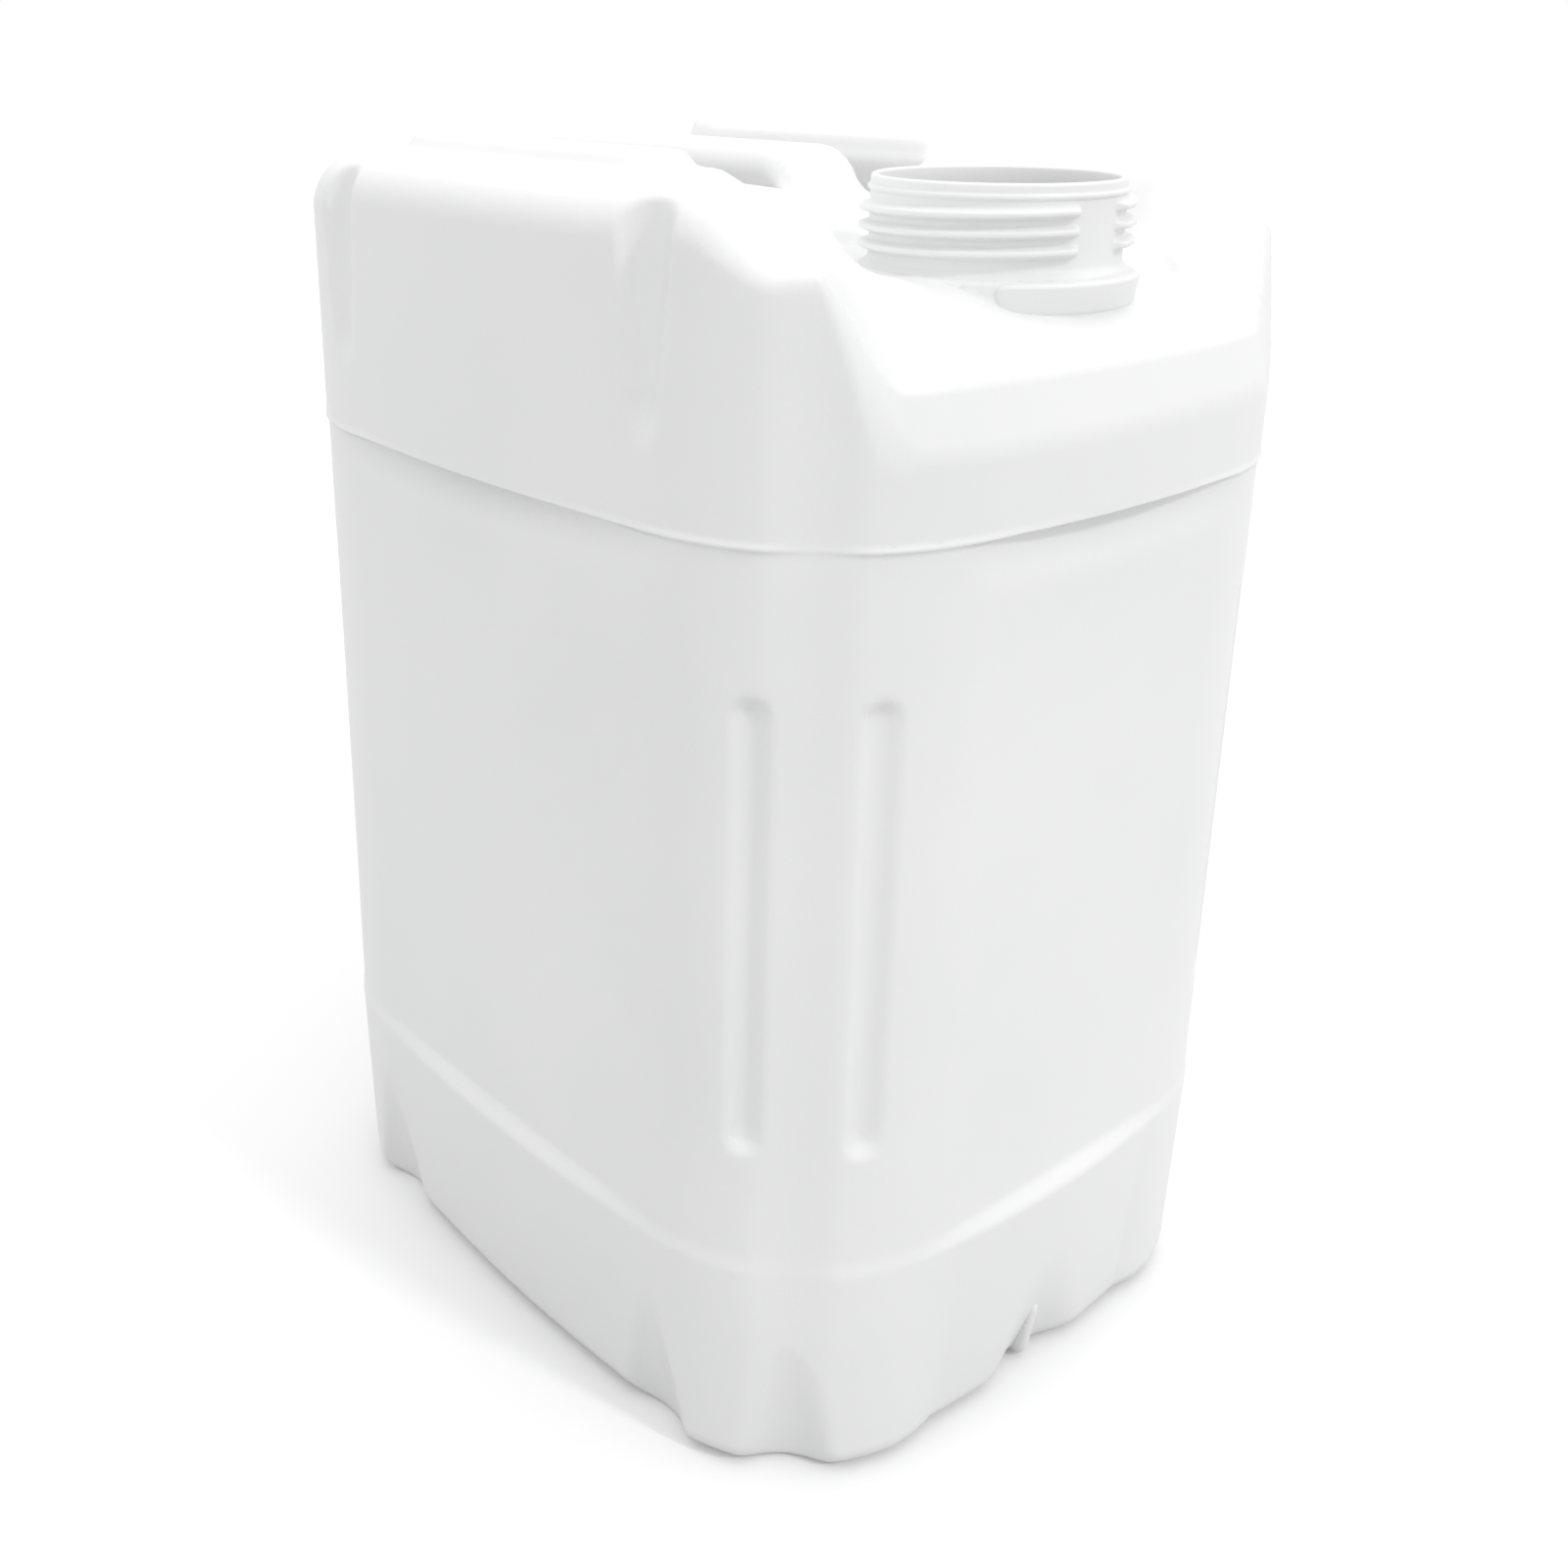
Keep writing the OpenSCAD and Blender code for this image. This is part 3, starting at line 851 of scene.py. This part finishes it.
@dataclass
class ScrewNeck:
    """The neck: a tube with an interrupted thread, a lip ring, and a catch below."""

    centre_y: float = -91.0
    bore: float = 34.0
    tube: float = 36.0
    crest: float = 39.0
    foot_z: float = 360.0
    lip_z: float = 388.0
    ring_z: float = 384.4
    pitch: float = 5.2
    first_z: float = 369.0
    turns: int = 3
    half_arc: float = 76.0
    root_half: float = 1.9
    crest_half: float = 0.45
    catch_inner: float = 34.7
    front_catch: tuple[float, float, float] = (41.5, 353.0, 362.3)
    side_catch: tuple[float, float, float] = (39.5, 355.0, 361.0)

    def thread_height(self, angle: Array, z: Array) -> Array:
        """Height of the thread over the tube.

        Two half turns for each turn, one round +X and one round -X, climb by the pitch
        in a whole turn. A half turn's height is a smooth step of the distance to its
        helix, and falls to nothing over four degrees at its ends.

        Args:
            angle: angle round the neck from +X, in degrees.
            z: height of the point.

        Returns:
            The height above the tube in millimetres.
        """
        height = np.zeros(np.broadcast(angle, z).shape)
        for side in (0, 1):
            turn = (angle - 180 * (1 - side) + 180) % 360 - 180
            ends = ramp(self.half_arc + 2 - np.abs(turn), 0, 4)
            for row in range(self.turns):
                helix = self.first_z + self.pitch * (row + side / 2 + turn / 360)
                lean = ramp(self.root_half - np.abs(z - helix), 0, 1.45)
                height = np.maximum(height, lean * ends)
        return height * (self.crest - self.tube)

    def tube_profile(self) -> Array:
        """Radius and height from the bore's foot over the lip to the outer foot."""
        bore = [(self.bore, z) for z in (350.0, 360.0, 372.0, 384.0)]
        a = np.linspace(np.pi, 0, 9)
        half = (self.tube - self.bore) / 2
        lip = np.stack(
            [self.bore + half + half * np.cos(a), self.lip_z - 0.9 + 0.9 * np.sin(a)],
            axis=1,
        )
        outer = np.linspace(self.lip_z - 1.1, self.foot_z, 86)
        ring = 0.8 * ramp(0.95 - np.abs(outer - self.ring_z), 0, 0.5)
        flare = 2.6 * ramp(366.5 - outer, 0, 4.5) ** 2
        wall = np.stack([self.tube + ring + flare, outer], axis=1)
        return np.concatenate([bore, lip, wall])

    def build(self, finish: bpy.types.Material) -> None:
        """Builds the threaded tube and the three catches."""
        angle = np.arange(0, 360, 1.0)[None, :]
        profile = self.tube_profile()
        z = profile[:, 1][:, None] + 0 * angle
        outer = profile[:, 0][:, None] > self.tube - 0.01
        radius = profile[:, 0][:, None] + outer * self.thread_height(angle, z)
        self.piece("neck", radius, z, angle, False, finish)
        self.build_catch("neck_catch", -90, 50, self.front_catch, finish)
        self.build_catch("neck_catch_left", -150, 9.5, self.side_catch, finish)
        self.build_catch("neck_catch_right", -30, 9.5, self.side_catch, finish)

    def build_catch(
        self,
        name: str,
        middle_angle: float,
        sweep: float,
        size: tuple[float, float, float],
        finish: bpy.types.Material,
    ) -> None:
        """Builds a catch: a round-edged bar bent round the foot of the neck.

        Args:
            name: the piece's name.
            middle_angle: angle of its middle round the neck from +X, in degrees.
            sweep: half the angle that it covers.
            size: its outer radius, lower and upper height.
            finish: its material.
        """
        outer, low, top = size
        angle = np.linspace(middle_angle - sweep, middle_angle + sweep, 81)
        place = np.abs(angle - middle_angle) / sweep
        closing = np.sqrt(np.clip(1 - place**24, 0, 1))
        loop = rounded_loop(
            [
                (self.catch_inner, low, 0.3),
                (outer - 1.5, low, 2.0),
                (outer, top, 1.2),
                (self.catch_inner, top, 0.3),
            ]
        )
        middle = loop.mean(axis=0)
        ring = middle + (loop[:, None, :] - middle) * closing[None, :, None]
        self.piece(name, ring[..., 0], ring[..., 1], angle[None, :], True, finish)

    def piece(
        self,
        name: str,
        radius: Array,
        z: Array,
        angle: Array,
        closed_profile: bool,
        finish: bpy.types.Material,
    ) -> None:
        """Makes a turned piece: radius and height in rows, angle in columns."""
        turn = np.radians(angle)
        x = radius * np.cos(turn)
        y = radius * np.sin(turn) + self.centre_y
        points = np.stack([x, y, z], axis=-1).reshape(-1, 3)
        quads = grid_faces(radius.shape[0], radius.shape[1], closed_profile, not closed_profile)
        make_piece(name, points, quads, finish, Body.TANK)


# ---------------------------------------------------------------- the closure


@dataclass
class Closure:
    """The screw cap, its liner and its tamper band, lying open side down."""

    x: float = 42.0
    y: float = 201.2
    inner_r: float = 39.6
    outer_r: float = 42.2
    band_h: float = 6.0
    band_gap: float = 0.8
    height: float = 24.0
    top_t: float = 2.6
    dish: float = 1.0
    rim: float = 9.0
    ribs: int = 48
    rib_rise: float = 1.1
    thread_crest: float = 36.6
    pitch: float = 5.2
    liner_r: float = 37.0
    liner_t: float = 2.0
    bridges: int = 12

    def rib(self, angle: Array, z: Array) -> Array:
        """Height of the grip ribs: the positive half of a cosine, ending under the top."""
        wave = np.maximum(np.cos(np.radians(angle) * self.ribs) - 0.15, 0) / 0.85
        top = self.band_h + self.band_gap + self.height
        return self.rib_rise * np.sqrt(wave) * ramp(top - z, 1.5, 4)

    def inner_thread(self, angle: Array, z: Array) -> Array:
        """Height of the two-turn thread inside the skirt, a smooth step of the distance."""
        height = np.zeros(np.broadcast(angle, z).shape)
        for row in range(3):
            helix = 10.8 + self.pitch * (row + (angle % 360) / 360)
            fade = ramp(helix - 10.8, 0, 0.5) * ramp(21.2 - helix, 0, 0.5)
            height = np.maximum(height, ramp(1.9 - np.abs(z - helix), 0, 1.4) * fade)
        return height * (self.inner_r - self.thread_crest)

    def turned(
        self,
        name: str,
        radius: Array,
        z: Array,
        angle: Array,
        wrap: bool,
        finish: bpy.types.Material,
    ) -> bpy.types.Object:
        """Makes a turned piece about the closure's axis."""
        turn = np.radians(angle)
        x = self.x + radius * np.cos(turn)
        y = self.y + radius * np.sin(turn)
        points = np.stack([x, y, z + 0 * x], axis=-1).reshape(-1, 3)
        quads = grid_faces(x.shape[0], x.shape[1], wrap, True)
        return make_piece(name, points, quads, finish, Body.CAP)

    def build(self, plastic: bpy.types.Material, foam: bpy.types.Material) -> None:
        """Builds the three pieces and lets them stand for their solids."""
        shell = self.build_shell(plastic)
        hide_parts("cap_shell")
        liner = self.build_liner(foam)
        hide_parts("cap_liner")
        band = self.build_band(plastic)
        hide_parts("cap_tamper_band")

    def build_shell(self, finish: bpy.types.Material) -> bpy.types.Object:
        """Builds the ribbed cap with the thread in its skirt and a dished top."""
        low = self.band_h + self.band_gap
        top = low + self.height
        roof = top - self.top_t
        inner = np.linspace(low + 0.6, roof - 0.4, 64)
        outer = np.linspace(low + 0.5, top - 1.6, 26)
        a = np.linspace(0, np.pi / 2, 6)
        sill = self.outer_r - self.rim
        profile = np.concatenate(
            [
                [(0, roof)],
                [(r, roof) for r in np.linspace(6, self.inner_r - 0.6, 8)],
                np.stack([np.full(64, self.inner_r), inner[::-1]], axis=1),
                [(self.inner_r + 0.4, low), (self.outer_r - 0.5, low)],
                np.stack([np.full(26, self.outer_r), outer], axis=1),
                np.stack(
                    [self.outer_r - 1.6 + 1.6 * np.cos(a), top - 1.6 + 1.6 * np.sin(a)],
                    axis=1,
                )[1:],
                [(sill + 0.7, top), (sill + 0.2, top - 0.2), (sill, top - 0.5)],
                [(sill - 0.2, top - self.dish), (sill / 2, top - self.dish)],
                [(0, top - self.dish)],
            ]
        )
        angle = np.arange(0, 360, 1.25)[None, :]
        radius = profile[:, 0][:, None] + 0 * angle
        z = profile[:, 1][:, None] + 0 * angle
        outside = profile[:, 0][:, None] >= self.outer_r - 0.3
        skirt = np.isclose(profile[:, 0][:, None], self.inner_r)
        radius = radius + outside * self.rib(angle, z)
        radius = radius - skirt * self.inner_thread(angle, z)
        return self.turned(
            "cap_moulding", radius, z, angle, False, finish
        )

    def build_liner(self, finish: bpy.types.Material) -> bpy.types.Object:
        """Builds the liner: a disc with eased edges and a ring pressed into it."""
        roof = self.band_h + self.band_gap + self.height - self.top_t
        low = roof - self.liner_t
        face = np.linspace(0, self.liner_r - 0.4, 40)
        dent = 0.25 * ramp(1.6 - np.abs(face - 35), 0, 0.8)
        profile = np.concatenate(
            [
                np.stack([face, low + dent], axis=1),
                [(self.liner_r, low + 0.4), (self.liner_r, roof - 0.4)],
                [(self.liner_r - 0.4, roof - 0.02), (0, roof - 0.02)],
            ]
        )
        angle = np.arange(0, 360, 3.0)[None, :]
        radius = profile[:, 0][:, None] + 0 * angle
        z = profile[:, 1][:, None] + 0 * angle
        return self.turned("liner_disc", radius, z, angle, False, finish)

    def build_band(self, finish: bpy.types.Material) -> bpy.types.Object:
        """Builds the tamper band with the bridges that tie it to the cap.

        The band's upper edge rises to the cap's skirt over each bridge.
        """
        angle = np.arange(0, 360, 1.0)[None, :]
        spot = (angle * self.bridges / 360 + 0.5) % 1 - 0.5
        rise = (self.band_gap + 0.1) * ramp(0.06 - np.abs(spot), 0, 0.025)
        loop = rounded_loop(
            [
                (self.inner_r, 0, 0.4),
                (self.outer_r, 0, 0.5),
                (self.outer_r, self.band_h, 0.5),
                (self.inner_r, self.band_h, 0.5),
            ],
            4,
        )
        upper = (loop[:, 1] > self.band_h / 2)[:, None]
        radius = loop[:, 0][:, None] + 0 * angle
        z = loop[:, 1][:, None] + upper * rise
        return self.turned(
            "tamper_band", radius, z, angle, True, finish
        )


# ---------------------------------------------------------------- studio


@dataclass
class Camera:
    """The camera: its place, its direction and its lens."""

    place: tuple[float, float, float] = (-0.39285, -0.41635, 0.42433)
    yaw: float = 39.83
    pitch: float = 19.55
    roll: float = 0.18
    lens: float = 39.24
    shift: tuple[float, float] = (0.0738, -0.0898)

    def build(self) -> None:
        """Creates the camera; yaw turns from +Y towards +X, pitch looks down."""
        yaw, pitch, roll = np.radians([self.yaw, self.pitch, self.roll])
        ahead = np.array(
            [np.sin(yaw) * np.cos(pitch), np.cos(yaw) * np.cos(pitch), -np.sin(pitch)]
        )
        right = np.array([np.cos(yaw), -np.sin(yaw), 0])
        up = np.cross(right, ahead)
        side = np.cos(roll) * right + np.sin(roll) * up
        top = np.cos(roll) * up - np.sin(roll) * right
        lens = bpy.data.cameras.new("studio_camera")
        lens.lens = self.lens
        lens.sensor_width = 36
        lens.shift_x, lens.shift_y = self.shift
        lens.clip_start = 0.01
        camera = bpy.data.objects.new("studio_camera", lens)
        turn = Matrix([Vector(v) for v in (side, top, -ahead)]).transposed()
        camera.matrix_world = Matrix.Translation(self.place) @ turn.to_4x4()
        bpy.context.scene.collection.objects.link(camera)
        bpy.context.scene.camera = camera


@dataclass
class Studio:
    """Pale floor, even surroundings and soft lamps."""

    floor_size: float = 30.0
    floor_colour: float = 0.95
    floor_bounce: float = 0.5
    sky: float = 1.0

    def build(self) -> None:
        """Builds the floor, the world and the lamps."""
        scene = bpy.context.scene
        scene.view_settings.view_transform = "Standard"
        self.build_world(scene)
        self.build_floor(scene)
        self.sun("key", (0.22, -0.97, 0.85), 0.6, 7)
        self.lamp("overhead", (0.3, 0.2, 2.6), 2.6, 13)

    def build_world(self, scene: bpy.types.Scene) -> None:
        """A white backdrop for the eye and the gloss, a dimmer even light for the rest."""
        world = bpy.data.worlds.new("studio_world")
        world.use_nodes = True
        scene.world = world
        tree = world.node_tree
        back = tree.nodes["Background"]
        back.inputs["Color"].default_value = (1, 1, 1, 1)
        path = tree.nodes.new("ShaderNodeLightPath")
        seen = tree.nodes.new("ShaderNodeMath")
        seen.operation = "MAXIMUM"
        tree.links.new(path.outputs["Is Camera Ray"], seen.inputs[0])
        tree.links.new(path.outputs["Is Transmission Ray"], seen.inputs[1])
        level = tree.nodes.new("ShaderNodeMapRange")
        level.inputs["To Min"].default_value = self.sky
        level.inputs["To Max"].default_value = 1.0
        tree.links.new(seen.outputs[0], level.inputs["Value"])
        tree.links.new(level.outputs["Result"], back.inputs["Strength"])

    def build_floor(self, scene: bpy.types.Scene) -> None:
        """A matt floor, paler to the eye and in gloss than in the light it gives back."""
        material = bpy.data.materials.new("studio_floor")
        material.use_nodes = True
        tree = material.node_tree
        tree.nodes.clear()
        out = tree.nodes.new("ShaderNodeOutputMaterial")
        matt = tree.nodes.new("ShaderNodeBsdfDiffuse")
        shade = tree.nodes.new("ShaderNodeMapRange")
        shade.inputs["To Min"].default_value = self.floor_bounce
        shade.inputs["To Max"].default_value = self.floor_colour
        path = tree.nodes.new("ShaderNodeLightPath")
        seen = tree.nodes.new("ShaderNodeMath")
        seen.operation = "MAXIMUM"
        tree.links.new(path.outputs["Is Camera Ray"], seen.inputs[0])
        tree.links.new(path.outputs["Is Glossy Ray"], seen.inputs[1])
        tree.links.new(seen.outputs[0], shade.inputs["Value"])
        tree.links.new(shade.outputs["Result"], matt.inputs["Color"])
        tree.links.new(matt.outputs[0], out.inputs["Surface"])
        half = self.floor_size / 2
        mesh = bpy.data.meshes.new("studio_floor")
        corners = [(-half, -half, 0), (half, -half, 0), (half, half, 0), (-half, half, 0)]
        mesh.from_pydata(corners, [], [(0, 1, 2, 3)])
        mesh.materials.append(material)
        floor = bpy.data.objects.new("studio_floor", mesh)
        scene.collection.objects.link(floor)

    def lamp(
        self, name: str, place: tuple[float, float, float], size: float, power: float
    ) -> None:
        """Adds a square area lamp that faces the middle of the tank."""
        light = bpy.data.lights.new(name, "AREA")
        light.size = size
        light.energy = power
        lamp = bpy.data.objects.new(name, light)
        lamp.location = place
        aim = Vector((0, 0, 0.2)) - Vector(place)
        lamp.rotation_euler = aim.to_track_quat("-Z", "Y").to_euler()
        bpy.context.scene.collection.objects.link(lamp)

    def sun(
        self, name: str, towards: tuple[float, float, float], power: float, angle: float
    ) -> None:
        """Adds a far lamp that shines from a direction and subtends an angle."""
        light = bpy.data.lights.new(name, "SUN")
        light.energy = power
        light.angle = np.radians(angle)
        lamp = bpy.data.objects.new(name, light)
        lamp.rotation_euler = Vector(towards).to_track_quat("Z", "Y").to_euler()
        bpy.context.scene.collection.objects.link(lamp)


def corners(bounds: object) -> list[list[float]]:
    """A box as plain lists of numbers."""
    return [[round(float(v), 5) for v in corner] for corner in bounds]


def main() -> None:
    """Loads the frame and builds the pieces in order."""
    logging.basicConfig(level=logging.INFO, format="%(message)s")
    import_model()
    Camera().build()
    Studio().build()
    body_finish = MouldedPlastic("natural_polyethylene", seam=True).build()
    cap_finish = MouldedPlastic(
        "cap_plastic",
        light=(0.8, 0.8, 0.79),
        dark=(0.76, 0.76, 0.75),
        translucency=0.05,
    ).build()
    foam_finish = LinerFoam().build()
    Moulding().build(body_finish)
    ScrewNeck().build(body_finish)
    Closure().build(cap_finish, foam_finish)


if __name__ == "__main__":
    main()
